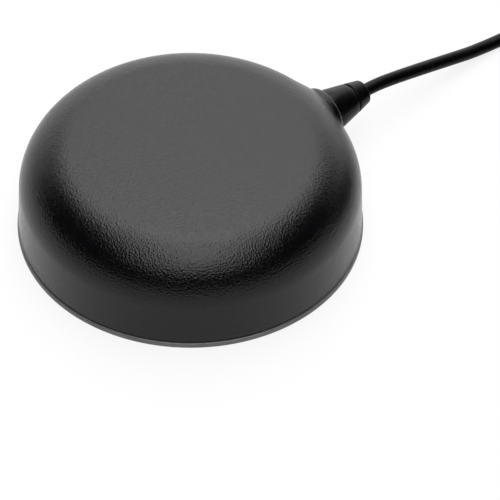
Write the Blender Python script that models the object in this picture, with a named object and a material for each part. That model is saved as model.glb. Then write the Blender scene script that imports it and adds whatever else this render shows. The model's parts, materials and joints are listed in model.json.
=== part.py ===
"""A puck-shaped GNSS receiver with its moulded-on lead, built as it comes apart on a bench.

Metres, +Z up. The origin is the centre of the underside, on the surface that the puck stands on.
All lengths below are in millimetres and are multiplied by MM where they reach Blender.
"""

import math

import bmesh
import bpy
from mathutils import Matrix, Vector

MM = 0.001
GAP = 0.3  # clearance between two pieces that touch

# ---------------------------------------------------------------- driving dimensions, in mm
RIM_RADIUS = 34.5  # metal rim, the widest part of the puck
RIM_BOTTOM = 0.1
RIM_TOP = 1.1
RIM_CHAMFER = 0.25
SKIRT_RADIUS = 34.29  # radome wall, at its lower edge
SKIRT_BOTTOM = RIM_TOP + GAP
WALL = 2.1
DRAFT = math.radians(2.37)
CORNER_RADIUS = 10.97
CORNER_CENTRE = (22.97, 9.93)  # distance from the axis, height
DOME_SAG = 0.5

SPIGOT_RADIUS = 31.85
SPIGOT_TOP = 4.2
PAD_RADIUS = 29.2
PAD_THICKNESS = 0.7
RECESS_TOP = PAD_THICKNESS + GAP

CABLE_AZIMUTH = math.radians(39.2)
CABLE_HEIGHT = 8.97
CABLE_DIAMETER = 2.7
BORE_RADIUS = CABLE_DIAMETER / 2 + GAP
BOSS_END = 35.7  # this and the next two: distance from the puck's axis
BOOT_SEAT = 34.9  # bottom of the boss's counterbore
BOOT_END = 45.4

BOARD_RADIUS = 23.6
BOARD_THICKNESS = 1.0
MAIN_BOARD_BOTTOM = 5.6
MAIN_BOARD_TOP = MAIN_BOARD_BOTTOM + BOARD_THICKNESS
ANTENNA_BOARD_BOTTOM = 10.2
ANTENNA_BOARD_TOP = ANTENNA_BOARD_BOTTOM + BOARD_THICKNESS
PART_BOTTOM = MAIN_BOARD_TOP + GAP
CAN_WALL = 0.25
STACK_SCREW_CIRCLE = 20.8
HOUSING_SCREW_CIRCLE = 26.6
QUARTERS = [math.radians(45 + 90 * k) for k in range(4)]

COLUMN_RADIUS = 2.5  # the radome's columns, which the housing screws cut into
COLUMN_BOTTOM = SPIGOT_TOP + GAP
COLUMN_LENGTH = 13.8
PILOT_RADIUS = 1.55
PILOT_DEPTH = 7.0
POST_RADIUS = 2.0  # the base's posts, which carry the boards
POST_HOLE_RADIUS = 1.35
SCREW_HOLE_RADIUS = 1.6
SCREW_HEAD_POCKET = (2.5, 2.7)  # radius, height of its flat end
MAGNET_CIRCLE = 13.5
MAGNET_RADIUS = 6.0
MAGNET_THICKNESS = 1.9
SEAL_RADIUS = 31.35
SEAL_SECTION = 0.32

LOWER_PATCH = (32.0, 3.0)  # side, thickness
UPPER_PATCH = (25.0, 3.0)
ELECTRODE_THICKNESS = 0.1
ELECTRODE_GAP = 0.1
FEED_OFFSETS = [(3.4, 0.0), (0.0, 3.4), (-6.2, 0.0), (0.0, -6.2)]  # two upper feeds, two lower
FEED_PIN_RADIUS = 0.4
FEED_HOLE_RADIUS = 0.8

COIL_CENTRE = (90.7, 32.8)
COIL_MEAN_RADIUS = 17.45
COIL_HALF_WIDTH = 6.85
COIL_BOTTOM = 0.85
COIL_TOP = 15.2
TIE_THICKNESS = 0.5
TIE_WIDTH = 5.0
TIE_AZIMUTH = math.radians(306)

PLUG_REAR = (99.0, 1.0, 5.2)
NUT_START = 19.1
NUT_LENGTH = 14.4
THREAD_RADIUS = 4.0
THREAD_PITCH = 1.0
NUT_BORE = 3.05
CONTACT_CIRCLE = 1.45
CONTACT_RADIUS = 0.5

# The lead's route in mm: out of the boot, down to the surface and round towards the coil.
LEAD_ROUTE = [
    (18.60, 15.17, 8.97),
    (26.35, 21.49, 8.97),
    (34.10, 27.81, 8.97),
    (38.28, 31.22, 8.60),
    (42.08, 34.32, 7.64),
    (47.97, 39.12, 5.82),
    (53.86, 43.93, 3.88),
    (58.51, 47.72, 2.40),
    (62.00, 50.56, 1.60),
    (69.13, 55.01, 1.40),
    (77.60, 57.85, 1.40),
    (86.00, 58.30, 1.40),
]
# From the coil's top turn down to the plug, which lies beside the coil.
TAIL_ROUTE = [
    (112.53, 18.36, 13.48),
    (112.46, 12.91, 12.02),
    (111.86, 8.64, 9.53),
    (109.23, 4.69, 7.02),
    (105.02, 2.09, 5.54),
    (100.10, 1.00, 5.20),
    (96.00, 1.00, 5.20),
    (91.50, 1.00, 5.20),
]


# ---------------------------------------------------------------- materials
def material(name, colour, roughness, metallic=0.0):
    made = bpy.data.materials.new(name)
    made.use_nodes = True
    shader = made.node_tree.nodes["Principled BSDF"]
    shader.inputs["Base Color"].default_value = (*colour, 1.0)
    shader.inputs["Roughness"].default_value = roughness
    shader.inputs["Metallic"].default_value = metallic
    made.diffuse_color = (*colour, 1.0)
    return made


def make_materials():
    return {
        "radome_plastic": material("radome_plastic", (0.020, 0.020, 0.022), 0.42),
        "zinc": material("zinc", (0.30, 0.30, 0.31), 0.38, 0.9),
        "rubber": material("rubber", (0.018, 0.018, 0.019), 0.60),
        "cable_jacket": material("cable_jacket", (0.012, 0.012, 0.013), 0.30),
        "steel": material("steel", (0.55, 0.55, 0.56), 0.30, 1.0),
        "magnet": material("magnet", (0.60, 0.60, 0.60), 0.22, 1.0),
        "board": material("board", (0.02, 0.16, 0.09), 0.45),
        "module_board": material("module_board", (0.02, 0.12, 0.14), 0.45),
        "shield_metal": material("shield_metal", (0.66, 0.65, 0.62), 0.28, 1.0),
        "ceramic": material("ceramic", (0.62, 0.55, 0.42), 0.55),
        "silver": material("silver", (0.83, 0.82, 0.78), 0.30, 1.0),
        "gold": material("gold", (0.85, 0.62, 0.25), 0.25, 1.0),
        "connector_plastic": material("connector_plastic", (0.75, 0.72, 0.62), 0.50),
        "chip": material("chip", (0.03, 0.03, 0.03), 0.50),
        "wire_red": material("wire_red", (0.55, 0.03, 0.03), 0.40),
        "wire_black": material("wire_black", (0.02, 0.02, 0.02), 0.40),
        "wire_green": material("wire_green", (0.03, 0.35, 0.10), 0.40),
        "wire_white": material("wire_white", (0.80, 0.80, 0.78), 0.40),
        "nickel": material("nickel", (0.62, 0.61, 0.58), 0.25, 1.0),
        "tie": material("tie", (0.03, 0.03, 0.03), 0.85),
    }


# ---------------------------------------------------------------- shape helpers
def arc(centre, radius, start, end, steps):
    """Points on a circle in a turned outline's plane; angles in radians from outward."""
    angles = [start + (end - start) * k / steps for k in range(steps + 1)]
    return [(centre[0] + radius * math.cos(a), centre[1] + radius * math.sin(a)) for a in angles]


def mesh_of(name, bm):
    bmesh.ops.recalc_face_normals(bm, faces=bm.faces)
    mesh = bpy.data.meshes.new(name)
    bm.to_mesh(mesh)
    bm.free()
    return mesh


def turned_mesh(name, outline, segments, rib=0.0):
    """Turns an outline of (radius, height) points round Z. It is a ring where no point is on the axis.

    rib sinks every other column of points on the widest part that far, which makes a knurl.
    """
    bm = bmesh.new()
    verts = [bm.verts.new((r * MM, 0.0, h * MM)) for r, h in outline]
    ring = all(r > 0 for r, _ in outline)
    pairs = list(zip(verts, verts[1:]))
    if ring:
        pairs.append((verts[-1], verts[0]))
    edges = [bm.edges.new(pair) for pair in pairs]
    bmesh.ops.spin(
        bm,
        geom=verts + edges,
        axis=(0, 0, 1),
        cent=(0, 0, 0),
        angle=2 * math.pi,
        steps=segments,
        use_merge=True,
    )
    bmesh.ops.remove_doubles(bm, verts=bm.verts, dist=0.002 * MM)
    if rib:
        widest = max(r for r, _ in outline) * MM
        for vert in bm.verts:
            column = round(math.atan2(vert.co.y, vert.co.x) * segments / (2 * math.pi))
            radius = math.hypot(vert.co.x, vert.co.y)
            if column % 2 and radius > 0.99 * widest:
                vert.co.x *= 1 - rib * MM / radius
                vert.co.y *= 1 - rib * MM / radius
    return mesh_of(name, bm)


def box_mesh(name, size):
    bm = bmesh.new()
    bmesh.ops.create_cube(bm, size=1.0)
    bmesh.ops.scale(bm, vec=Vector(size) * MM, verts=bm.verts)
    return mesh_of(name, bm)


def place(name, mesh, finish, location=(0, 0, 0), parent=None, turn=0.0, smooth=True):
    """Puts a mesh in the scene, location in mm in its parent's frame, turned about Z."""
    made = bpy.data.objects.new(name, mesh)
    bpy.context.scene.collection.objects.link(made)
    made.location = Vector(location) * MM
    made.rotation_euler = (0.0, 0.0, turn)
    made.parent = parent
    if finish and not mesh.materials:
        mesh.materials.append(finish)
    if smooth:
        mesh.shade_smooth()
        mesh.set_sharp_from_angle(angle=math.radians(35))
    return made


def empty(name, location, rotation=(0.0, 0.0, 0.0)):
    made = bpy.data.objects.new(name, None)
    bpy.context.scene.collection.objects.link(made)
    made.location = Vector(location) * MM
    made.rotation_euler = rotation
    made.empty_display_size = 5 * MM
    return made


def helper(made):
    """Marks an object as a cutter or a body to join, which isn't a piece itself."""
    made.hide_render = True
    made.display_type = "WIRE"
    return made


def combine(made, other, operation):
    boolean = made.modifiers.new(other.name, "BOOLEAN")
    boolean.operation = operation
    boolean.solver = "EXACT"
    boolean.object = helper(other)


def group_mesh(name, mesh, spots):
    """One mesh of the same separate shape at several spots: (x, y, z) in mm and a turn about Z."""
    bm = bmesh.new()
    for (x, y, z), turn in spots:
        before = len(bm.verts)
        bm.from_mesh(mesh)
        bm.verts.ensure_lookup_table()
        fresh = bm.verts[before:]
        bmesh.ops.rotate(bm, cent=(0, 0, 0), matrix=Matrix.Rotation(turn, 3, "Z"), verts=fresh)
        bmesh.ops.translate(bm, vec=Vector((x, y, z)) * MM, verts=fresh)
    return mesh_of(name, bm)


def rod_mesh(name, radius, length, segments=16):
    """A cylinder standing on its origin."""
    return turned_mesh(name, [(0, 0), (radius, 0), (radius, length), (0, length)], segments)


def polar(radius, angle, height=0.0):
    return (radius * math.cos(angle), radius * math.sin(angle), height)


def can_mesh(name, size, wall):
    """A pressed shield can: a shallow box, open below."""
    bm = bmesh.new()
    bmesh.ops.create_cube(bm, size=1.0)
    bmesh.ops.scale(bm, vec=Vector(size) * MM, verts=bm.verts)
    rounded = [e for e in bm.edges if max(v.co.z for v in e.verts) > 0]
    bmesh.ops.bevel(bm, geom=rounded, offset=wall * MM, segments=1, affect="EDGES")
    under = min(bm.faces, key=lambda f: f.calc_center_median().z)
    bmesh.ops.inset_region(bm, faces=[under], thickness=wall * MM)
    hollow = bmesh.ops.extrude_discrete_faces(bm, faces=[under])
    depth = (size[2] - 1.5 * wall) * MM
    bmesh.ops.translate(bm, vec=(0, 0, depth), verts=list(hollow["faces"][0].verts))
    return mesh_of(name, bm)


def smooth_route(points, step):
    """Points about a step apart on a centripetal Catmull-Rom curve through a route, in mm."""
    ends = [Vector(p) for p in points]
    ends = [2 * ends[0] - ends[1], *ends, 2 * ends[-1] - ends[-2]]
    fine = []
    for p0, p1, p2, p3 in zip(ends, ends[1:], ends[2:], ends[3:]):
        knots = [0.0]
        for a, b in ((p0, p1), (p1, p2), (p2, p3)):
            knots.append(knots[-1] + (b - a).length ** 0.5)
        for k in range(20):
            t = knots[1] + (knots[2] - knots[1]) * k / 20
            a1 = p0.lerp(p1, (t - knots[0]) / (knots[1] - knots[0]))
            a2 = p1.lerp(p2, (t - knots[1]) / (knots[2] - knots[1]))
            a3 = p2.lerp(p3, (t - knots[2]) / (knots[3] - knots[2]))
            b1 = a1.lerp(a2, (t - knots[0]) / (knots[2] - knots[0]))
            b2 = a2.lerp(a3, (t - knots[1]) / (knots[3] - knots[1]))
            fine.append(b1.lerp(b2, (t - knots[1]) / (knots[2] - knots[1])))
    fine.append(ends[-2])
    along = [0.0]
    for a, b in zip(fine, fine[1:]):
        along.append(along[-1] + (b - a).length)
    count = max(2, round(along[-1] / step))
    spaced = []
    k = 0
    for n in range(count + 1):
        want = along[-1] * n / count
        while k < len(along) - 2 and along[k + 1] < want:
            k += 1
        share = (want - along[k]) / (along[k + 1] - along[k])
        spaced.append(fine[k].lerp(fine[k + 1], share))
    return spaced


def tube(name, points, diameter, finish, parent=None, resolution=2):
    curve = bpy.data.curves.new(name, "CURVE")
    curve.dimensions = "3D"
    curve.bevel_depth = diameter / 2 * MM
    curve.bevel_resolution = resolution
    curve.use_fill_caps = True
    spline = curve.splines.new("POLY")
    spline.points.add(len(points) - 1)
    for point, spot in zip(spline.points, points):
        point.co = (*(Vector(spot) * MM), 1.0)
    curve.materials.append(finish)
    made = bpy.data.objects.new(name, curve)
    bpy.context.scene.collection.objects.link(made)
    made.parent = parent
    return made


# ---------------------------------------------------------------- the housing
def radome_outline():
    """The cover's turned outline: up the outside, over the dome, back down the inside."""
    centre_r, centre_h = CORNER_CENTRE
    dome_radius = centre_r**2 / (2 * DOME_SAG)
    dome_centre = centre_h - math.sqrt((dome_radius - CORNER_RADIUS) ** 2 - centre_r**2)
    lean = math.asin(centre_r / (dome_radius - CORNER_RADIUS))
    outside = arc(CORNER_CENTRE, CORNER_RADIUS, DRAFT, math.pi / 2 - lean, 8)
    dome = [
        (dome_radius * math.sin(lean * k / 2), dome_centre + dome_radius * math.cos(lean * k / 2))
        for k in (1, 0)
    ]
    inner_radius = CORNER_RADIUS - WALL
    inside = arc(CORNER_CENTRE, inner_radius, math.pi / 2, DRAFT, 4)
    ceiling = centre_h + inner_radius
    edge = [
        (SKIRT_RADIUS - WALL, SKIRT_BOTTOM),
        (SKIRT_RADIUS - 0.2, SKIRT_BOTTOM),
        (SKIRT_RADIUS, SKIRT_BOTTOM + 0.2),
    ]
    return edge + outside + dome + [(0.0, ceiling)] + inside + [edge[0]]


def closed_turn(name, outline, segments):
    """A turned shell whose outline starts and ends at one point and touches the axis between."""
    bm = bmesh.new()
    verts = [bm.verts.new((r * MM, 0.0, h * MM)) for r, h in outline[:-1]]
    pairs = list(zip(verts, verts[1:])) + [(verts[-1], verts[0])]
    on_axis = [pair for pair in pairs if pair[0].co.x == pair[1].co.x == 0]
    edges = [bm.edges.new(pair) for pair in pairs if pair not in on_axis]
    bmesh.ops.spin(
        bm,
        geom=verts + edges,
        axis=(0, 0, 1),
        cent=(0, 0, 0),
        angle=2 * math.pi,
        steps=segments,
        use_merge=True,
    )
    bmesh.ops.remove_doubles(bm, verts=bm.verts, dist=0.002 * MM)
    return mesh_of(name, bm)


def cable_boss_outline():
    """The round boss round the lead, along its own axis, with a rounded outer edge."""
    radius, start, rounding = 5.85, 32.3, 1.4
    end = BOSS_END
    edge = arc((radius - rounding, end - rounding), rounding, 0.0, math.pi / 2, 4)
    return [(0.0, start), (radius, start), *edge, (0.0, end)]


def make_radome(finish, along_cable):
    radome = place("radome", closed_turn("radome", radome_outline(), 64), finish["radome_plastic"])
    column = rod_mesh("column", COLUMN_RADIUS, COLUMN_LENGTH, 12)
    corners = [CABLE_AZIMUTH + a for a in QUARTERS]
    spots = [(polar(HOUSING_SCREW_CIRCLE, a, COLUMN_BOTTOM), 0.0) for a in corners]
    columns = place("screw_columns", group_mesh("screw_columns", column, spots), None)
    combine(radome, columns, "UNION")
    rib_length, rib_height = 5.4, 8.0
    rib = box_mesh("rib", (rib_length, 1.2, rib_height))
    rib_radius = HOUSING_SCREW_CIRCLE + 0.9 + rib_length / 2
    rib_centre = COLUMN_BOTTOM + 0.7 + rib_height / 2
    spots = [(polar(rib_radius, a, rib_centre), a) for a in corners]
    combine(radome, place("column_ribs", group_mesh("column_ribs", rib, spots), None), "UNION")
    boss = turned_mesh("cable_boss", cable_boss_outline(), 32)
    combine(radome, place("cable_boss", boss, None, parent=along_cable), "UNION")
    mouth = [(3.9, BOOT_SEAT), (4.8, BOOT_SEAT), (4.8, BOSS_END + 1.0), (0, BOSS_END + 1.0)]
    bore_outline = [(0, 30.0), (3.9, 30.0), *mouth]
    bore = turned_mesh("boss_bore", bore_outline, 24)
    combine(radome, place("boss_bore", bore, None, parent=along_cable), "DIFFERENCE")
    pilot = rod_mesh("pilot", PILOT_RADIUS, PILOT_DEPTH + 1.0, 10)
    spots = [(polar(HOUSING_SCREW_CIRCLE, a, COLUMN_BOTTOM - 1.0), 0.0) for a in corners]
    pilots = place("column_pilots", group_mesh("column_pilots", pilot, spots), None)
    combine(radome, pilots, "DIFFERENCE")


def make_base(finish, device):
    """The die-cast base: rim, spigot with a seal groove, posts, and pockets from below."""
    groove_radius, groove_bottom, groove_top = 30.7, 2.4, 3.6
    outline = [
        (0.0, SPIGOT_TOP),
        (SPIGOT_RADIUS, SPIGOT_TOP),
        (SPIGOT_RADIUS, groove_top),
        (groove_radius, groove_top),
        (groove_radius, groove_bottom),
        (SPIGOT_RADIUS, groove_bottom),
        (SPIGOT_RADIUS, RIM_TOP),
        (RIM_RADIUS - RIM_CHAMFER, RIM_TOP),
        (RIM_RADIUS, RIM_TOP - RIM_CHAMFER),
        (RIM_RADIUS, RIM_BOTTOM + RIM_CHAMFER),
        (RIM_RADIUS - RIM_CHAMFER, RIM_BOTTOM),
        (PAD_RADIUS + GAP, RIM_BOTTOM),
        (PAD_RADIUS + GAP, RECESS_TOP),
        (0.0, RECESS_TOP),
    ]
    base = place("base_plate", turned_mesh("base_plate", outline, 64), finish["zinc"], parent=device)

    def change(name, mesh, spots, operation):
        copies = group_mesh(name, mesh, [(spot, 0.0) for spot in spots])
        combine(base, place(name, copies, None, parent=device), operation)

    sunk = 0.5
    post_height = MAIN_BOARD_BOTTOM - GAP - SPIGOT_TOP
    post = rod_mesh("post", POST_RADIUS, post_height + sunk, 12)
    change("posts", post, [polar(STACK_SCREW_CIRCLE, a, SPIGOT_TOP - sunk) for a in QUARTERS], "UNION")

    pocket_top = RECESS_TOP + 2 * GAP + MAGNET_THICKNESS
    pocket = rod_mesh("pocket", MAGNET_RADIUS + GAP + 0.05, pocket_top - sunk, 20)
    thirds = [math.radians(120 * k) for k in range(3)]
    change("magnet_pockets", pocket, [polar(MAGNET_CIRCLE, a, sunk) for a in thirds], "DIFFERENCE")

    head_radius, head_top = SCREW_HEAD_POCKET
    hole_outline = [
        (0, sunk),
        (head_radius, sunk),
        (head_radius, head_top),
        (SCREW_HOLE_RADIUS, head_top),
        (SCREW_HOLE_RADIUS, SPIGOT_TOP + 1.0),
        (0, SPIGOT_TOP + 1.0),
    ]
    hole = turned_mesh("hole", hole_outline, 12)
    change("screw_holes", hole, [polar(HOUSING_SCREW_CIRCLE, a) for a in QUARTERS], "DIFFERENCE")

    tapped_bottom = 2.9
    tapped = rod_mesh("tapped", POST_HOLE_RADIUS, MAIN_BOARD_BOTTOM + 0.8 - tapped_bottom, 8)
    spots = [polar(STACK_SCREW_CIRCLE, a, tapped_bottom) for a in QUARTERS]
    change("post_holes", tapped, spots, "DIFFERENCE")


def make_base_fittings(finish, device):
    """The magnets in their pockets, the seal in its groove, and the pad under them all."""
    chamfer = 0.2
    outline = [
        (0, 0),
        (MAGNET_RADIUS - chamfer, 0),
        (MAGNET_RADIUS, chamfer),
        (MAGNET_RADIUS, MAGNET_THICKNESS - chamfer),
        (MAGNET_RADIUS - chamfer, MAGNET_THICKNESS),
        (0, MAGNET_THICKNESS),
    ]
    disc = turned_mesh("magnet", outline, 20)
    for k in range(3):
        spot = polar(MAGNET_CIRCLE, math.radians(120 * k), RECESS_TOP + GAP)
        place(f"magnet_{k + 1}", disc, finish["magnet"], spot, device)

    section = arc((SEAL_RADIUS, 3.0), SEAL_SECTION, 0, 2 * math.pi, 6)[:-1]
    place("housing_seal", turned_mesh("housing_seal", section, 40), finish["rubber"], parent=device)

    rounding = 0.3
    pad_edge = arc((PAD_RADIUS - rounding, rounding), rounding, -math.pi / 2, 0, 2)
    outline = [(0, 0), *pad_edge, (PAD_RADIUS, PAD_THICKNESS), (0, PAD_THICKNESS)]
    pad = turned_mesh("underside_pad", outline, 48)
    place("underside_pad", pad, finish["rubber"], parent=device)


def screw_mesh(name, head_radius, head_height, shank_radius, shank_length):
    """A cap screw standing on its head, with a round-bottomed socket in the head."""
    socket = 0.5 * head_radius
    outline = [
        (0.0, head_height * 0.6),
        (socket, head_height * 0.6),
        (socket, 0.0),
        (head_radius - 0.3, 0.0),
        (head_radius, 0.3),
        (head_radius, head_height),
        (shank_radius, head_height),
        (shank_radius, head_height + shank_length - 0.5),
        (shank_radius - 0.5, head_height + shank_length),
        (0.0, head_height + shank_length),
    ]
    return turned_mesh(name, outline, 10)


def make_screws(finish, device):
    stack_head = 1.1
    housing = screw_mesh("housing_screw", 2.2, 1.2, 1.25, 8.0)
    stack = screw_mesh("stack_screw", 1.9, stack_head, 1.0, 7.0)
    for k, angle in enumerate(QUARTERS, start=1):
        spot = polar(HOUSING_SCREW_CIRCLE, angle, RECESS_TOP + GAP)
        place(f"housing_screw_{k}", housing, finish["steel"], spot, device)
        spot = polar(STACK_SCREW_CIRCLE, angle, ANTENNA_BOARD_TOP + GAP + stack_head)
        turned_over = place(f"stack_screw_{k}", stack, finish["steel"], spot, device)
        turned_over.rotation_euler = (math.pi, 0.0, 0.0)


# ---------------------------------------------------------------- the electronics
def make_board(name, bottom, finish, device, holes):
    """A round board with a notch for the lead and round holes: (radius, x, y)."""
    disc = [(0, 0), (BOARD_RADIUS, 0), (BOARD_RADIUS, BOARD_THICKNESS), (0, BOARD_THICKNESS)]
    board = place(name, turned_mesh(name, disc, 40), finish, (0, 0, bottom), device)
    beyond = 0.5
    cut_through = BOARD_THICKNESS + 2 * beyond
    bm = bmesh.new()
    for radius, x, y in holes:
        drill = rod_mesh("drill", radius, cut_through, 8)
        drill.transform(Matrix.Translation(Vector((x, y, -beyond)) * MM))
        bm.from_mesh(drill)
    notch_depth, notch_width = 3.1, 8.0
    notch = box_mesh("notch", (2 * notch_depth, notch_width, cut_through))
    notch.transform(Matrix.Translation(Vector((BOARD_RADIUS, 0.0, BOARD_THICKNESS / 2)) * MM))
    bm.from_mesh(notch)
    cutter = place(f"{name}_holes", mesh_of(f"{name}_holes", bm), None, (0, 0, bottom), device)
    combine(board, cutter, "DIFFERENCE")


def make_boards(finish, device):
    spots = [polar(STACK_SCREW_CIRCLE, a) for a in QUARTERS]
    bore, outside = 1.3, 2.0
    screw_holes = [(bore, x, y) for x, y, _ in spots]
    feed_holes = [(FEED_HOLE_RADIUS, *feed_spot(k)) for k in range(4)]
    make_board("main_board", MAIN_BOARD_BOTTOM, finish["board"], device, screw_holes)
    make_board("antenna_board", ANTENNA_BOARD_BOTTOM, finish["board"], device, screw_holes + feed_holes)
    length = ANTENNA_BOARD_BOTTOM - GAP - PART_BOTTOM
    spacer = turned_mesh("spacer", [(bore, 0), (outside, 0), (outside, length), (bore, length)], 6)
    for k, (x, y, _) in enumerate(spots, start=1):
        place(f"spacer_{k}", spacer, finish["steel"], (x, y, PART_BOTTOM), device, smooth=False)


def make_module(name, size, centre, finish, device):
    """A shielded module: its own small board and the pressed lid over it."""
    length, width = size
    board_height, lid_height, margin = 0.8, 1.4, 1.0
    board = box_mesh(f"{name}_board", (length, width, board_height))
    spot = (*centre, PART_BOTTOM + board_height / 2)
    place(f"{name}_board", board, finish["module_board"], spot, device, smooth=False)
    lid = can_mesh(f"{name}_lid", (length - margin, width - margin, lid_height), CAN_WALL)
    spot = (*centre, PART_BOTTOM + board_height + GAP + lid_height / 2)
    place(f"{name}_lid", lid, finish["shield_metal"], spot, device, smooth=False)


def make_small_parts(finish, device):
    """Name, size, centre and finish of each block soldered to the main board's top."""
    blocks = [
        ("interface_chip", (6.0, 5.0, 1.0), (-4.0, -14.0), "chip"),
        ("voltage_regulator", (4.0, 3.0, 1.2), (10.5, 4.5), "chip"),
        ("power_inductor", (5.0, 5.0, 2.4), (10.5, -4.5), "chip"),
        ("input_capacitor", (3.5, 2.8, 1.9), (7.0, -12.5), "connector_plastic"),
        ("board_header", (2.5, 8.0, 3.0), (-19.0, 0.0), "chip"),
        ("wire_connector", (4.0, 8.0, 2.6), (16.4, 0.0), "connector_plastic"),
    ]
    for name, size, (x, y), look in blocks:
        spot = (x, y, PART_BOTTOM + size[2] / 2)
        block = place(name, box_mesh(name, size), finish[look], spot, device)
        edge = block.modifiers.new("edge", "BEVEL")
        edge.width = 0.2 * MM
        edge.segments = 1
    height = 1.6
    can = can_mesh("amplifier_shield", (14.0, 9.0, height), CAN_WALL)
    spot = (-4.0, -15.0, ANTENNA_BOARD_BOTTOM - GAP - height / 2)
    shield = place("amplifier_shield", can, finish["shield_metal"], spot, device)
    shield.rotation_euler = (math.pi, 0.0, 0.0)


def feed_spot(k):
    """Where feed pin k stands: its offset along the patches' own axes, which lie at 45 degrees."""
    x, y = FEED_OFFSETS[k]
    turn = QUARTERS[0]
    return (x * math.cos(turn) - y * math.sin(turn), x * math.sin(turn) + y * math.cos(turn))


def make_plate(name, side, thickness, bottom, pins, finish, device):
    """A square plate of the antenna with a hole at each feed pin that passes through it."""
    plate = place(
        name,
        box_mesh(name, (side, side, thickness)),
        finish,
        (0, 0, bottom + thickness / 2),
        device,
        turn=QUARTERS[0],
        smooth=False,
    )
    beyond = 0.3
    drill = rod_mesh("drill", FEED_HOLE_RADIUS, thickness + 2 * beyond, 8)
    spots = [((*feed_spot(k), bottom - beyond), 0.0) for k in pins]
    drills = place(f"{name}_holes", group_mesh(f"{name}_holes", drill, spots), None, parent=device)
    combine(plate, drills, "DIFFERENCE")


def make_antenna(finish, device):
    lower_bottom = ANTENNA_BOARD_TOP + GAP
    lower_top = lower_bottom + LOWER_PATCH[1]
    upper_bottom = lower_top + 2 * ELECTRODE_GAP + ELECTRODE_THICKNESS + GAP
    upper_top = upper_bottom + UPPER_PATCH[1]
    every, upper_pins, lower_pins = (0, 1, 2, 3), (0, 1), (2, 3)
    make_plate("lower_patch", *LOWER_PATCH, lower_bottom, every, finish["ceramic"], device)
    make_plate("upper_patch", *UPPER_PATCH, upper_bottom, upper_pins, finish["ceramic"], device)
    foil = (ELECTRODE_THICKNESS, lower_top + ELECTRODE_GAP)
    make_plate("lower_patch_electrode", LOWER_PATCH[0] - 3, *foil, every, finish["silver"], device)
    foil = (ELECTRODE_THICKNESS, upper_top + ELECTRODE_GAP)
    make_plate("upper_patch_electrode", UPPER_PATCH[0] - 4, *foil, upper_pins, finish["silver"], device)
    for k in every:
        bottom = ANTENNA_BOARD_BOTTOM - 0.2
        top = (upper_top if k in upper_pins else lower_top) + 2 * ELECTRODE_GAP + ELECTRODE_THICKNESS
        head_radius, head_height = (1.1, 0.25) if k in upper_pins else (0.5, 0.25)
        outline = [
            (0, bottom),
            (FEED_PIN_RADIUS, bottom),
            (FEED_PIN_RADIUS, top),
            (head_radius, top),
            (head_radius, top + 0.6 * head_height),
            (0.8 * head_radius, top + head_height),
            (0, top + head_height),
        ]
        pin = turned_mesh("feed_pin", outline, 8)
        place(f"feed_pin_{k + 1}", pin, finish["silver"], (*feed_spot(k), 0), device)


# ---------------------------------------------------------------- the lead
def make_cable_entry(finish, device, along_cable):
    """The boot, the crimped ferrule inside the housing, and the four wires to the board."""
    seat = BOOT_SEAT + GAP
    flange = [(BORE_RADIUS, 28.9), (4.45, 28.9), (4.45, 30.4), (3.6, 30.4), (3.6, seat)]
    shoulder = [(4.50, seat), (4.48, 36.6), (3.42, 41.6)]
    groove = [(3.10, 41.7), (3.06, 42.05)]
    cuff = [(3.28, 42.15), (2.67, 44.8)]
    nose_radius = 0.55
    nose = arc((2.10, BOOT_END - nose_radius), nose_radius, 0.0, math.pi / 2, 3)
    outline = flange + shoulder + groove + cuff + nose + [(BORE_RADIUS, BOOT_END)]
    place("cable_boot", turned_mesh("cable_boot", outline, 24), finish["rubber"], parent=along_cable)
    start, end, radius = 25.6, 28.4, 2.3
    outline = [(BORE_RADIUS, start), (radius, start), (radius, end), (BORE_RADIUS, end)]
    ferrule = turned_mesh("cable_ferrule", outline, 16)
    place("cable_ferrule", ferrule, finish["nickel"], parent=along_cable)
    for k, look in enumerate(("wire_red", "wire_black", "wire_green", "wire_white")):
        spread = (k - 1.5) * 1.7
        start = Vector((23.7, (k - 1.5) * 0.8, CABLE_HEIGHT))
        end = Vector((18.75, spread, 8.3))
        middle = (start + end) / 2 + Vector((0.0, spread * 0.25, 0.35))
        points = smooth_route([start, middle, end], 0.8)
        tube(f"inner_wire_{k + 1}", points, 0.65, finish[look], device)


def make_lead(finish):
    step = 2.4 * CABLE_DIAMETER
    tube("cable_lead", smooth_route(LEAD_ROUTE, step), CABLE_DIAMETER, finish["cable_jacket"])
    tube("cable_tail", smooth_route(TAIL_ROUTE, step * 0.7), CABLE_DIAMETER, finish["cable_jacket"])

    centre = (*COIL_CENTRE, 0.0)
    inner, outer = COIL_MEAN_RADIUS - COIL_HALF_WIDTH, COIL_MEAN_RADIUS + COIL_HALF_WIDTH
    rounding = 2.4
    outline = []
    for r, h, start in (
        (outer - rounding, COIL_BOTTOM + rounding, -90),
        (outer - rounding, COIL_TOP - rounding, 0),
        (inner + rounding, COIL_TOP - rounding, 90),
        (inner + rounding, COIL_BOTTOM + rounding, 180),
    ):
        outline += arc((r, h), rounding, math.radians(start), math.radians(start + 90), 2)
    place("cable_coil", turned_mesh("cable_coil", outline, 32), finish["cable_jacket"], centre)
    make_coil_tie(finish, centre)


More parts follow.
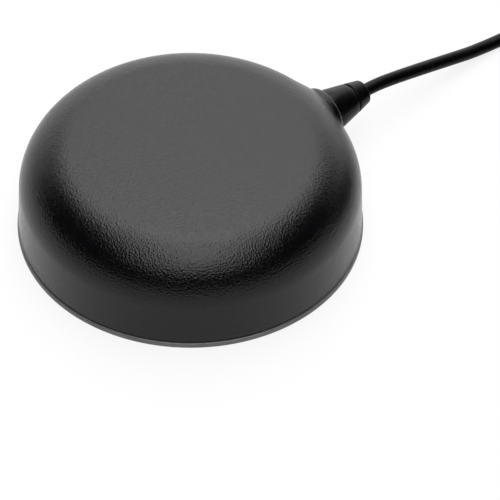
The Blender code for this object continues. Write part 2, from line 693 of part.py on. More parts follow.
def make_coil_tie(finish, centre):
    """A flat strap in a loop round the coil's bundle of turns."""
    low, high = 0.05, COIL_TOP + TIE_THICKNESS + GAP
    near = COIL_MEAN_RADIUS - COIL_HALF_WIDTH - TIE_THICKNESS - 0.7
    far = COIL_MEAN_RADIUS + COIL_HALF_WIDTH + TIE_THICKNESS + 0.35
    bm = bmesh.new()
    corners = [(near, low), (far, low), (far, high), (near, high)]
    inside = [
        (near + TIE_THICKNESS, low + TIE_THICKNESS),
        (far - TIE_THICKNESS, low + TIE_THICKNESS),
        (far - TIE_THICKNESS, high - TIE_THICKNESS),
        (near + TIE_THICKNESS, high - TIE_THICKNESS),
    ]
    rings = []
    for side in (-TIE_WIDTH / 2, TIE_WIDTH / 2):
        for loop in (corners, inside):
            rings.append([bm.verts.new(Vector((r, side, h)) * MM) for r, h in loop])
    for a, b in ((0, 1), (2, 3), (0, 2), (1, 3)):
        for k in range(4):
            m = (k + 1) % 4
            bm.faces.new((rings[a][k], rings[a][m], rings[b][m], rings[b][k]))
    tie = mesh_of("coil_tie", bm)
    place("coil_tie", tie, finish["tie"], centre, turn=TIE_AZIMUTH, smooth=False)


# ---------------------------------------------------------------- the connector on the lead
def make_plug(finish):
    """An M8 moulded plug: grip, contact carrier, four contacts, and the coupling nut round them."""
    along_plug = empty("along_plug", PLUG_REAR, (0.0, -math.pi / 2, 0.0))
    first_ring = [(2.3, 0.0), (2.6, 1.6), (2.2, 1.7), (2.3, 2.5)]
    second_ring = [(2.8, 2.6), (3.1, 4.6), (2.6, 4.7), (2.7, 5.5)]
    body = [(3.4, 5.6), (3.8, 8.0), (4.9, 9.5), (4.9, 18.0), (4.6, 18.6)]
    collar = [(3.9, 18.6), (3.9, 21.1), (0.0, 21.1)]
    bore = [(0.0, 8.0), (BORE_RADIUS, 8.0), (BORE_RADIUS, 0.0)]
    outline = [bore[-1], *first_ring, *second_ring, *body, *collar, *bore]
    grip_mesh = closed_turn("plug_grip", outline, 24)
    place("plug_grip", grip_mesh, finish["rubber"], parent=along_plug)

    carrier = [(0, 21.5), (2.7, 21.5), (2.7, 27.0), (2.5, 27.2), (0, 27.2)]
    insert = place("plug_insert", turned_mesh("plug_insert", carrier, 16), finish["chip"], parent=along_plug)
    spots = [(polar(CONTACT_CIRCLE, a, 24.0), 0.0) for a in QUARTERS]
    drill = rod_mesh("drill", CONTACT_RADIUS + GAP, 4.0, 8)
    holes = place("contact_holes", group_mesh("contact_holes", drill, spots), None, parent=along_plug)
    combine(insert, holes, "DIFFERENCE")
    tip = [(CONTACT_RADIUS, 7.4), (0.2, 7.8), (0, 7.8)]
    pin = turned_mesh("contact_pin", [(0, GAP), (CONTACT_RADIUS, GAP), *tip], 10)
    for k, (spot, _) in enumerate(spots, start=1):
        place(f"contact_pin_{k}", pin, finish["gold"], spot, along_plug)

    knurled = [(4.2, 0.0), (4.55, 0.0), (4.8, 0.25), (4.8, 7.2), (4.5, 7.5), (4.1, 7.6)]
    thread_start, thread_depth = 8.1, 0.6
    thread = []
    for turn in range(6):
        foot = thread_start + turn * THREAD_PITCH
        thread.append((THREAD_RADIUS - thread_depth, foot))
        thread.append((THREAD_RADIUS, foot + 0.5 * THREAD_PITCH))
    end = [
        (THREAD_RADIUS - thread_depth, NUT_LENGTH - 0.1),
        (THREAD_RADIUS - thread_depth - 0.1, NUT_LENGTH),
        (NUT_BORE, NUT_LENGTH),
        (NUT_BORE, 2.3),
        (4.2, 2.3),
    ]
    nut_mesh = turned_mesh("coupling_nut", knurled + thread + end, 24, rib=0.28)
    place("coupling_nut", nut_mesh, finish["nickel"], (0, 0, NUT_START), along_plug)


def main():
    for old in list(bpy.data.objects):
        bpy.data.objects.remove(old)
    finish = make_materials()
    device = empty("device", (0, 0, 0), (0.0, 0.0, CABLE_AZIMUTH))
    along_cable = empty("along_cable", (0, 0, CABLE_HEIGHT), (0.0, math.pi / 2, CABLE_AZIMUTH))
    make_radome(finish, along_cable)
    make_base(finish, device)
    make_base_fittings(finish, device)
    make_screws(finish, device)
    make_boards(finish, device)
    make_module("receiver_module", (22.0, 17.0), (-5.0, 0.0), finish, device)
    make_module("correction_module", (16.0, 12.2), (0.0, 15.4), finish, device)
    make_small_parts(finish, device)
    make_antenna(finish, device)
    make_cable_entry(finish, device, along_cable)
    make_lead(finish)
    make_plug(finish)


main()
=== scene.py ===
import json
import math

import bmesh
import bpy
from mathutils import Matrix, Vector


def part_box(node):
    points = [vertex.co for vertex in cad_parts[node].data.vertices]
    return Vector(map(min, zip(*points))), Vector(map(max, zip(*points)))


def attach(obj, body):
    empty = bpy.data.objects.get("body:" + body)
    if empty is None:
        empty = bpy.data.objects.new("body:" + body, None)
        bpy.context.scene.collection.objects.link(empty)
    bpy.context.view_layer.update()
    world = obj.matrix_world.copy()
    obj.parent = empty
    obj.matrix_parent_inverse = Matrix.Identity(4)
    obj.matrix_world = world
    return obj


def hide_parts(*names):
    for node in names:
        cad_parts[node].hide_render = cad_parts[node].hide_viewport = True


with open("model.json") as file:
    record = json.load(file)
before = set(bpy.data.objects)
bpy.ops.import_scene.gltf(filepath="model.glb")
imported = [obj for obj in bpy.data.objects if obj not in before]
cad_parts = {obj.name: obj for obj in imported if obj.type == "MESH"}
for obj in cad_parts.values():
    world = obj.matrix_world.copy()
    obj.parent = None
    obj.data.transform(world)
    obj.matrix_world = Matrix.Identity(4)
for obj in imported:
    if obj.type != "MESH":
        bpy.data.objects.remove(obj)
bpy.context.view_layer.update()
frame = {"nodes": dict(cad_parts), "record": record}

MM = 0.001
BODY = "receiver"
NUT_BODY = "coupling_nut"

# ---------------------------------------------------------------- sizes, in mm
RIM_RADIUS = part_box("base_plate")[1].x / MM
PAD_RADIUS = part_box("underside_pad")[1].x / MM
PAD_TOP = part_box("underside_pad")[1].z / MM
GAP = 0.3

RIM_BOTTOM, RIM_TOP, RIM_ROUNDING = 0.06, 1.1, 0.25
SKIRT_RADIUS, SKIRT_BOTTOM, WALL = 34.29, RIM_TOP + GAP, 2.1
HOUSING_SEGMENTS = 224
DRAFT = math.radians(2.37)
CORNER_RADIUS = 10.97
CORNER_CENTRE = (22.97, 9.93)
DOME_SAG = 0.5
SPIGOT_RADIUS, SPIGOT_TOP = 31.85, 4.2

CABLE_DIAMETER = 2.7
CABLE_HEIGHT = 8.97
BORE_RADIUS = CABLE_DIAMETER / 2 + GAP
CABLE_AZIMUTH = math.radians(39.2)
BOSS_RADIUS, BOSS_END = 5.85, 35.7
BOOT_SEAT = 34.9
BOOT_END = 45.4
SWELLING, SWELLING_REACH = 0.9, 10.0
QUARTERS = [math.radians(45 + 90 * k) for k in range(4)]
CORNERS = [CABLE_AZIMUTH + angle for angle in QUARTERS]
THIRDS = [CABLE_AZIMUTH + math.radians(120 * k) for k in range(3)]
HOUSING_SCREW_CIRCLE = 26.6
STACK_CIRCLE = 20.8
MAGNET_CIRCLE = 13.5

COIL_CENTRE = Vector((90.7, 32.8))
COIL_MEAN_RADIUS = 17.45
TURN_PITCH = 2.75
LAYER_TURNS = (5, 4, 5, 4, 5, 4)
CORD_ON_FLOOR = 1.4
COIL_START, COIL_SWEEP = math.radians(50), math.radians(9410)
LANE_CHANGE_START = math.radians(162)
LANE_CHANGE_SHARE = 110 / 360
LAYER_LEAD = 42 / 360
CROSSING_FADE = 40 / 360
NESTED_LEAN = math.radians(60)
COIL_STEP = math.radians(9)
SWAY, SWAY_WAVES, SWAY_DRIFT = 0.05, 2.3, 0.7
TIE_ANGLE = math.radians(306)
TIE_LIFT, TIE_LIFT_WIDTH = 0.5, 0.7

PLUG_REAR = Vector((99.0, 1.0, 5.2))
NUT_START = 19.1
CONTACT_CIRCLE, CONTACT_START = 1.45, 24.0

# ---------------------------------------------------------------- light
# Pairs are where an edge begins and ends, along one axis of the direction the light comes from.
PANEL_CENTRE = 0.03
PANEL_SIDE = (0.25, 0.52)
PANEL_NEAR = (-0.93, -0.73)
PANEL_LOW = (0.47, 0.85)
PANEL_LIGHT, PANEL_LEAN = 4.7, 0.25
BACKDROP_SIDE = (0.36, 1.02)
BACKDROP_TOP = (0.54, 0.70)
BACKDROP_LIGHT, BACKDROP_LEAN = 2.1, 0.15
SKY_LIGHT = 0.05
FLOOR_LIGHT = 0.83

# The lead's route out of the boot, as the part has it, then round to the coil's outer turn.
LEAD_ROUTE = [
    (18.60, 15.17, 8.97),
    (26.35, 21.49, 8.97),
    (34.10, 27.81, 8.97),
    (38.28, 31.22, 8.60),
    (42.08, 34.32, 7.64),
    (47.97, 39.12, 5.82),
    (53.86, 43.93, 3.88),
    (58.51, 47.72, 2.40),
    (62.00, 50.56, 1.60),
    (69.13, 55.01, 1.40),
    (77.60, 57.85, 1.40),
    (86.00, 58.30, 1.40),
    (95.20, 56.35, 1.40),
    (100.60, 53.80, 1.40),
]
# From the coil's top turn over its edge and down to the plug.
TAIL_ROUTE = [
    (112.40, 29.50, 13.65),
    (112.60, 26.00, 13.70),
    (112.65, 22.30, 13.40),
    (112.53, 18.36, 13.48),
    (112.46, 12.91, 12.02),
    (111.86, 8.64, 9.53),
    (109.23, 4.69, 7.02),
    (105.02, 2.09, 5.54),
    (100.10, 1.00, 5.20),
    (96.00, 1.00, 5.20),
    (91.50, 1.00, 5.20),
]


# ---------------------------------------------------------------- materials
class Look:
    """A Principled material whose colour, roughness and relief come from procedural textures."""

    def __init__(self, name, metallic=0.0, ior=1.5, coat=0.0):
        self.material = bpy.data.materials.new(name)
        self.material.use_nodes = True
        self.nodes = self.material.node_tree.nodes
        self.links = self.material.node_tree.links
        self.shader = self.nodes["Principled BSDF"]
        self.shader.inputs["Metallic"].default_value = metallic
        self.shader.inputs["IOR"].default_value = ior
        self.shader.inputs["Coat Weight"].default_value = coat
        self.shader.inputs["Coat Roughness"].default_value = 0.1
        self.place = self.nodes.new("ShaderNodeTexCoord").outputs["Object"]
        self.relief = None

    def stretched(self, x=1.0, y=1.0, z=1.0, turn=(0.0, 0.0, 0.0)):
        """Object coordinates turned and stretched, for grain that runs one way."""
        mapping = self.nodes.new("ShaderNodeMapping")
        mapping.inputs["Rotation"].default_value = turn
        mapping.inputs["Scale"].default_value = (x, y, z)
        self.links.new(self.place, mapping.inputs["Vector"])
        return mapping.outputs["Vector"]

    def noise(self, size, detail=3.0, place=None):
        """Cloudy noise whose features are about size mm."""
        made = self.nodes.new("ShaderNodeTexNoise")
        made.inputs["Scale"].default_value = 1.0 / (size * MM)
        made.inputs["Detail"].default_value = detail
        made.inputs["Roughness"].default_value = 0.55
        self.links.new(place or self.place, made.inputs["Vector"])
        return made.outputs["Fac"]

    def cells(self, size, feature="F1", place=None):
        """Voronoi cells about size mm across."""
        made = self.nodes.new("ShaderNodeTexVoronoi")
        made.feature = feature
        made.inputs["Scale"].default_value = 1.0 / (size * MM)
        self.links.new(place or self.place, made.inputs["Vector"])
        return made.outputs["Distance"]

    def bands(self, size, direction="X", distortion=0.0, place=None):
        """Straight bands size mm apart."""
        # At a scale of 1 the node's bands are this far apart.
        band_width = math.tau / 20
        made = self.nodes.new("ShaderNodeTexWave")
        made.bands_direction = direction
        made.inputs["Scale"].default_value = band_width / (size * MM)
        made.inputs["Distortion"].default_value = distortion
        self.links.new(place or self.place, made.inputs["Vector"])
        return made.outputs["Fac"]

    def ramp(self, fac, low, high, start=0.35, end=0.65):
        """The value fac carried from low to high between start and end."""
        made = self.nodes.new("ShaderNodeMapRange")
        made.inputs["From Min"].default_value = start
        made.inputs["From Max"].default_value = end
        made.inputs["To Min"].default_value = low
        made.inputs["To Max"].default_value = high
        self.links.new(fac, made.inputs["Value"])
        return made.outputs["Result"]

    def mix(self, fac, low, high):
        """Colour from low to high by fac; each is a colour or another node's output."""
        made = self.nodes.new("ShaderNodeMix")
        made.data_type = "RGBA"
        self.links.new(fac, made.inputs["Factor"])
        colour_sockets = [socket for socket in made.inputs if socket.type == "RGBA"]
        for socket, value in zip(colour_sockets, (low, high)):
            if isinstance(value, tuple):
                socket.default_value = (*value, 1.0)
            else:
                self.links.new(value, socket)
        return next(socket for socket in made.outputs if socket.type == "RGBA")

    def combine(self, operation, a, b):
        """A math node on two values or outputs."""
        made = self.nodes.new("ShaderNodeMath")
        made.operation = operation
        for socket, value in zip(made.inputs, (a, b)):
            if isinstance(value, (int, float)):
                socket.default_value = value
            else:
                self.links.new(value, socket)
        return made.outputs["Value"]

    def colour(self, output):
        self.links.new(output, self.shader.inputs["Base Color"])

    def rough(self, output):
        self.links.new(output, self.shader.inputs["Roughness"])

    def mottle(self, size, detail, low, high):
        """A colour that drifts between two, in patches of size mm."""
        self.colour(self.mix(self.ramp(self.noise(size, detail), 0.0, 1.0), low, high))

    def scuff(self, size, detail, low, high):
        """A roughness that drifts between two values, in patches of size mm."""
        self.rough(self.ramp(self.noise(size, detail), low, high))

    def bump(self, height, depth):
        """Relief depth mm deep, laid over any relief given before."""
        made = self.nodes.new("ShaderNodeBump")
        made.inputs["Distance"].default_value = depth * MM
        self.links.new(height, made.inputs["Height"])
        if self.relief:
            self.links.new(self.relief, made.inputs["Normal"])
        self.relief = made.outputs["Normal"]
        self.links.new(self.relief, self.shader.inputs["Normal"])


def radome_look():
    """Black moulded plastic with a fine spark-eroded grain."""
    look = Look("radome_plastic", ior=1.34)
    look.mottle(14.0, 4.0, (0.0005, 0.0005, 0.0007), (0.0011, 0.0011, 0.0015))
    look.scuff(5.0, 5.0, 0.16, 0.21)
    look.bump(look.noise(3.2, detail=2.0), 0.006)
    look.bump(look.cells(0.37), 0.063)
    look.bump(look.noise(0.28, detail=1.0), 0.042)
    return look.material


def zinc_look():
    """Die-cast zinc, lightly blasted and darkened."""
    look = Look("zinc_base", metallic=0.4)
    look.mottle(6.0, 5.0, (0.095, 0.095, 0.099), (0.127, 0.127, 0.131))
    look.scuff(1.2, 4.0, 0.36, 0.48)
    look.bump(look.noise(0.22), 0.008)
    return look.material


def rubber_look(name, colour, low, high, grain, ior=1.5):
    """Moulded rubber: faint patches and a fine grain."""
    look = Look(name, ior=ior)
    look.mottle(2.6, 4.0, tuple(c * 0.8 for c in colour), colour)
    look.scuff(0.9, 4.0, low, high)
    look.bump(look.noise(grain), 0.012)
    return look.material


def jacket_look():
    """Glossy extruded cable jacket: faint waves along it and fine scuffs."""
    look = Look("cable_jacket", ior=1.18)
    look.mottle(4.0, 3.0, (0.0005, 0.0005, 0.0006), (0.0012, 0.0012, 0.0014))
    look.scuff(0.7, 5.0, 0.26, 0.38)
    look.bump(look.noise(1.6), 0.09)
    look.bump(look.noise(0.12, detail=2.0), 0.002)
    return look.material


def metal_look(name, colour, low, high, brushed=(1.0, 1.0, 12.0), depth=0.003):
    """Bare or plated metal, brushed across the directions that are stretched least."""
    look = Look(name, metallic=1.0)
    grain = look.noise(0.6, detail=4.0, place=look.stretched(*brushed))
    look.mottle(3.0, 3.0, tuple(c * 0.86 for c in colour), colour)
    look.rough(look.ramp(grain, low, high))
    look.bump(grain, depth)
    return look.material


def board_look(name, mask, copper):
    """Solder mask over copper: wide pours, thin tracks and small vias show through it."""
    look = Look(name, coat=0.3)
    turned = look.stretched(turn=(0.0, 0.0, CABLE_AZIMUTH))
    pours = look.ramp(look.cells(2.6, feature="DISTANCE_TO_EDGE", place=turned), 0.0, 1.0, 0.04, 0.06)
    tracks = look.ramp(look.bands(1.1, "X", 2.0, place=turned), 0.0, 1.0, 0.55, 0.65)
    shown = look.combine("MULTIPLY", pours, tracks)
    look.colour(look.mix(shown, mask, copper))
    look.scuff(0.5, 3.0, 0.3, 0.42)
    look.bump(shown, 0.03)
    return look.material


def ceramic_look():
    """Sintered ceramic: a pale body with darker specks."""
    look = Look("ceramic")
    speckle = look.ramp(look.cells(0.3), 0.0, 1.0, 0.1, 0.5)
    look.colour(look.mix(speckle, (0.50, 0.44, 0.33), (0.66, 0.59, 0.46)))
    look.scuff(0.8, 4.0, 0.42, 0.6)
    look.bump(look.noise(0.15), 0.01)
    return look.material


def plastic_look(name, colour, low, high):
    """Small moulded plastic pieces and wire insulation."""
    look = Look(name)
    look.mottle(1.5, 3.0, tuple(c * 0.85 for c in colour), colour)
    look.scuff(0.4, 3.0, low, high)
    look.bump(look.noise(0.12, detail=2.0), 0.006)
    return look.material


def fabric_look():
    """Black hook-and-loop tape: crossed threads and a soft sheen."""
    look = Look("tie_fabric")
    look.shader.inputs["Sheen Weight"].default_value = 0.4
    along = look.bands(0.32, "X")
    across = look.bands(0.32, "Z")
    weave = look.combine("MAXIMUM", along, across)
    look.colour(look.mix(weave, (0.008, 0.008, 0.008), (0.030, 0.030, 0.031)))
    look.scuff(0.3, 3.0, 0.75, 0.95)
    look.bump(weave, 0.06)
    return look.material


LOOKS = {
    "radome_plastic": radome_look(),
    "zinc_base": zinc_look(),
    "seal_rubber": rubber_look("seal_rubber", (0.02, 0.02, 0.02), 0.5, 0.65, 0.3),
    "pad_rubber": rubber_look("pad_rubber", (0.025, 0.025, 0.026), 0.62, 0.78, 0.25),
    "boot_rubber": rubber_look("boot_rubber", (0.0008, 0.0008, 0.0009), 0.25, 0.32, 0.35, 1.22),
    "grip_rubber": rubber_look("grip_rubber", (0.020, 0.020, 0.021), 0.40, 0.5, 0.3),
    "cable_jacket": jacket_look(),
    "steel": metal_look("steel", (0.55, 0.55, 0.56), 0.25, 0.4),
    "magnet_plating": metal_look("magnet_plating", (0.60, 0.60, 0.60), 0.12, 0.25, depth=0.001),
    "board": board_look("board", (0.012, 0.10, 0.05), (0.03, 0.22, 0.11)),
    "module_board": board_look("module_board", (0.01, 0.07, 0.09), (0.02, 0.15, 0.17)),
    "shield_metal": metal_look("shield_metal", (0.66, 0.65, 0.62), 0.22, 0.36, (6.0, 1.0, 1.0)),
    "ceramic": ceramic_look(),
    "silver": metal_look("silver", (0.83, 0.82, 0.78), 0.25, 0.4, (1.0, 1.0, 1.0), 0.004),
    "gold": metal_look("gold", (0.85, 0.62, 0.25), 0.15, 0.28, (1.0, 8.0, 8.0), 0.001),
    "connector_plastic": plastic_look("connector_plastic", (0.75, 0.72, 0.62), 0.4, 0.55),
    "chip_plastic": plastic_look("chip_plastic", (0.03, 0.03, 0.03), 0.42, 0.6),
    "wire_red": plastic_look("wire_red", (0.50, 0.03, 0.03), 0.3, 0.4),
    "wire_black": plastic_look("wire_black", (0.02, 0.02, 0.02), 0.3, 0.4),
    "wire_green": plastic_look("wire_green", (0.03, 0.33, 0.10), 0.3, 0.4),
    "wire_white": plastic_look("wire_white", (0.78, 0.78, 0.76), 0.3, 0.4),
    "nickel": metal_look("nickel", (0.62, 0.60, 0.56), 0.18, 0.3, (1.0, 9.0, 9.0)),
    "tie_fabric": fabric_look(),
}

# Each CAD piece gets the look of its material slot.
for entry in frame["record"]["subparts"]:
    node = frame["nodes"][entry["node"]]
    node.data.materials.clear()
    node.data.materials.append(LOOKS[entry["material_slot"]])


# ---------------------------------------------------------------- shape helpers
def arc(centre, radius, start, end, steps):
    """Points on a circle in a turned outline's plane; angles in radians from outward."""
    angles = [start + (end - start) * k / steps for k in range(steps + 1)]
    return [(centre[0] + radius * math.cos(a), centre[1] + radius * math.sin(a)) for a in angles]


def along(azimuth, height):
    """The frame of something turned about a level axis that points to an azimuth."""
    return (
        Matrix.Translation(Vector((0, 0, height)) * MM)
        @ Matrix.Rotation(azimuth, 4, "Z")
        @ Matrix.Rotation(math.pi / 2, 4, "Y")
    )


ALONG_CABLE = along(CABLE_AZIMUTH, CABLE_HEIGHT)
ALONG_PLUG = Matrix.Translation(PLUG_REAR * MM) @ Matrix.Rotation(-math.pi / 2, 4, "Y")


def finish_mesh(bm, name, where=None, sharp=30.0):
    """Closes the bmesh into an object in the shared frame, smooth shaded."""
    bmesh.ops.recalc_face_normals(bm, faces=bm.faces)
    if where is not None:
        bm.transform(where)
    mesh = bpy.data.meshes.new(name)
    bm.to_mesh(mesh)
    bm.free()
    mesh.shade_smooth()
    mesh.set_sharp_from_angle(angle=math.radians(sharp))
    made = bpy.data.objects.new(name, mesh)
    bpy.context.scene.collection.objects.link(made)
    return made


def turned(name, outline, segments, where=None, closed=False, shape=None, sharp=30.0):
    """Turns (radius, height) points round Z. closed joins the last point to the first.

    shape(angle, radius, height) gives the radius there, where a piece isn't round.
    """
    bm = bmesh.new()
    rings = []
    for r, h in outline:
        if r < 1e-6:
            rings.append([bm.verts.new((0.0, 0.0, h * MM))])
            continue
        ring = []
        for k in range(segments):
            a = math.tau * k / segments
            radius = shape(a, r, h) if shape else r
            ring.append(bm.verts.new((radius * MM * math.cos(a), radius * MM * math.sin(a), h * MM)))
        rings.append(ring)
    pairs = list(zip(rings, rings[1:]))
    if closed:
        pairs.append((rings[-1], rings[0]))
    for low, high in pairs:
        if len(low) == len(high) == 1:
            continue
        for k in range(segments):
            m = (k + 1) % segments
            if len(low) == 1:
                bm.faces.new((low[0], high[k], high[m]))
            elif len(high) == 1:
                bm.faces.new((low[k], high[0], low[m]))
            else:
                bm.faces.new((low[k], high[k], high[m], low[m]))
    return finish_mesh(bm, name, where, sharp)


def apply_booleans(made, steps, sharp=30.0):
    """Joins and cuts made with other objects, which are then removed."""
    for other, operation in steps:
        modifier = made.modifiers.new(other.name, "BOOLEAN")
        modifier.operation = operation
        modifier.solver = "EXACT"
        modifier.object = other
    graph = bpy.context.evaluated_depsgraph_get()
    mesh = bpy.data.meshes.new_from_object(made.evaluated_get(graph))
    made.modifiers.clear()
    made.data = mesh
    mesh.shade_smooth()
    mesh.set_sharp_from_angle(angle=math.radians(sharp))
    for other, _ in steps:
        bpy.data.objects.remove(other)
    return made


def round_bar(name, radius, length, segments):
    """A plain round bar from the origin up."""
    return turned(name, [(0, 0), (radius, 0), (radius, length), (0, length)], segments)


def box(name, size):
    """A box with its middle at the origin."""
    bm = bmesh.new()
    bmesh.ops.create_cube(bm, size=1.0)
    bmesh.ops.scale(bm, vec=Vector(size) * MM, verts=bm.verts)
    return finish_mesh(bm, name)


def polar(radius, angle, height=0.0):
    """The point at a radius and an angle round Z."""
    return (radius * math.cos(angle), radius * math.sin(angle), height)


def copies(name, base, circle, angles, height=0.0, facing=False):
    """One object of separate copies of base round a circle, facing out if asked; base is removed."""
    bm = bmesh.new()
    for angle in angles:
        before = len(bm.verts)
        bm.from_mesh(base.data)
        bm.verts.ensure_lookup_table()
        move = Matrix.Translation(Vector(polar(circle, angle, height)) * MM)
        if facing:
            move = move @ Matrix.Rotation(angle, 4, "Z")
        bmesh.ops.transform(bm, matrix=move, verts=bm.verts[before:])
    bpy.data.objects.remove(base)
    return finish_mesh(bm, name)


def settle(made, slot, *nodes, body=BODY):
    """Gives a piece its look and its body, and says which CAD nodes it stands for."""
    made.data.materials.clear()
    made.data.materials.append(LOOKS[slot])
    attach(made, body)
    if nodes:
        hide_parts(*nodes)
    return made


# ---------------------------------------------------------------- the cord
def smooth_route(points, step):
    """Points about a step apart on a centripetal Catmull-Rom curve through a route, in mm."""
    ends = [Vector(p) for p in points]
    ends = [2 * ends[0] - ends[1], *ends, 2 * ends[-1] - ends[-2]]
    fine = []
    parts = 20
    for p0, p1, p2, p3 in zip(ends, ends[1:], ends[2:], ends[3:]):
        knots = [0.0]
        for a, b in ((p0, p1), (p1, p2), (p2, p3)):
            knots.append(knots[-1] + (b - a).length ** 0.5)
        for k in range(parts):
            t = knots[1] + (knots[2] - knots[1]) * k / parts
            a1 = p0.lerp(p1, (t - knots[0]) / (knots[1] - knots[0]))
            a2 = p1.lerp(p2, (t - knots[1]) / (knots[2] - knots[1]))
            a3 = p2.lerp(p3, (t - knots[2]) / (knots[3] - knots[2]))
            b1 = a1.lerp(a2, (t - knots[0]) / (knots[2] - knots[0]))
            b2 = a2.lerp(a3, (t - knots[1]) / (knots[3] - knots[1]))
            fine.append(b1.lerp(b2, (t - knots[1]) / (knots[2] - knots[1])))
    fine.append(ends[-2])
    return evenly(fine, step)


def evenly(points, step):
    """The same line with its points a step apart."""
    run = [0.0]
    for a, b in zip(points, points[1:]):
        run.append(run[-1] + (b - a).length)
    count = max(2, round(run[-1] / step))
    spaced = []
    k = 0
    for n in range(count + 1):
        want = run[-1] * n / count
        while k < len(run) - 2 and run[k + 1] < want:
            k += 1
        share = (want - run[k]) / (run[k + 1] - run[k])
        spaced.append(points[k].lerp(points[k + 1], share))
    return spaced


def smoothstep(t):
    """From 0 to 1 with level ends."""
    t = min(1.0, max(0.0, t))
    return t * t * (3 - 2 * t)


def eased(t):
    """From 0 to 1 with the gentlest bends there are: speeding up half the way, then slowing down."""
    t = min(1.0, max(0.0, t))
    return 2 * t * t if t < 0.5 else 1 - 2 * (1 - t) ** 2


def coil_lanes():
    """Radius and layer of each turn in order: layers nest in each other, wound in and out."""
    lanes = []
    for layer, count in enumerate(LAYER_TURNS):
        radii = [COIL_MEAN_RADIUS + ((count - 1) / 2 - k) * TURN_PITCH for k in range(count)]
        if layer % 2:
            radii.reverse()
        lanes += [(r, layer) for r in radii]
    return lanes


def crossing_lift(layer, turns):
    """How far a layer rides up where the turns below it cross each other, as a share of one crossing."""
    lift = 0.0
    for below in range(len(LAYER_TURNS) - 1):
        start = -LAYER_LEAD * ((below + 1) // 2)
        end = LANE_CHANGE_SHARE - LAYER_LEAD * (below // 2)
        where = math.remainder(turns - (start + end) / 2, 1.0)
        window = eased(1 + ((end - start) / 2 - abs(where)) / CROSSING_FADE)
        lift += window * smoothstep(layer - below)
    return lift


def coil_route():
    """The coil, clockwise from where the lead meets it; its turns change lane one above the other."""
    lanes = coil_lanes()
    rise = TURN_PITCH * math.sin(NESTED_LEAN)
    count = round(COIL_SWEEP / COIL_STEP)
    points = []
    for k in range(count + 1):
        angle = COIL_START - COIL_SWEEP * k / count
        turns = (LANE_CHANGE_START - angle) / math.tau
        lane = math.floor(turns)
        ahead = LAYER_LEAD * (lanes[lane][1] // 2)
        if lane + 1 < len(lanes) and turns >= lane + 1 - ahead:
            lane += 1
        r0, layer0 = lanes[max(0, lane - 1)]
        r1, layer1 = lanes[lane]
        share = eased((turns - lane + LAYER_LEAD * (layer0 // 2)) / LANE_CHANGE_SHARE)
        radius = r0 + (r1 - r0) * share
        height = CORD_ON_FLOOR + layer0 * rise
        if layer1 > layer0:
            # The turn climbs round the one that was wound before it.
            before = lanes[lane - 2][0]
            lean_start = math.pi if before > r0 else 0.0
            lean = lean_start + (NESTED_LEAN - lean_start) * share
            radius = before + (r0 - before) * share + TURN_PITCH * math.cos(lean)
            height += TURN_PITCH * math.sin(lean)
        layer = layer0 + (layer1 - layer0) * share
        height += (TURN_PITCH - rise) * crossing_lift(layer, turns)
        from_tie = math.remainder(angle - TIE_ANGLE, math.tau)
        height += TIE_LIFT * math.exp(-((from_tie / TIE_LIFT_WIDTH) ** 2))
        radius += SWAY * math.sin(SWAY_WAVES * angle + SWAY_DRIFT * turns)
        points.append(Vector((*COIL_CENTRE, 0.0)) + Vector(polar(radius, angle, height)))
    return points


def make_cord():
    """The whole 3 m lead as one curve: from inside the housing to inside the plug's grip."""
    route = [Vector(p) for p in LEAD_ROUTE] + coil_route() + [Vector(p) for p in TAIL_ROUTE]
    points = smooth_route(route, step=1.5)
    curve = bpy.data.curves.new("lead", "CURVE")
    curve.dimensions = "3D"
    curve.bevel_depth = CABLE_DIAMETER / 2 * MM
    curve.bevel_resolution = 6
    curve.use_fill_caps = True
    spline = curve.splines.new("POLY")
    spline.points.add(len(points) - 1)
    for point, spot in zip(spline.points, points):
        point.co = (*(spot * MM), 1.0)
    spline.use_smooth = True
    lead = bpy.data.objects.new("lead", curve)
    bpy.context.scene.collection.objects.link(lead)
    return settle(lead, "cable_jacket", "cable_lead", "cable_coil", "cable_tail")


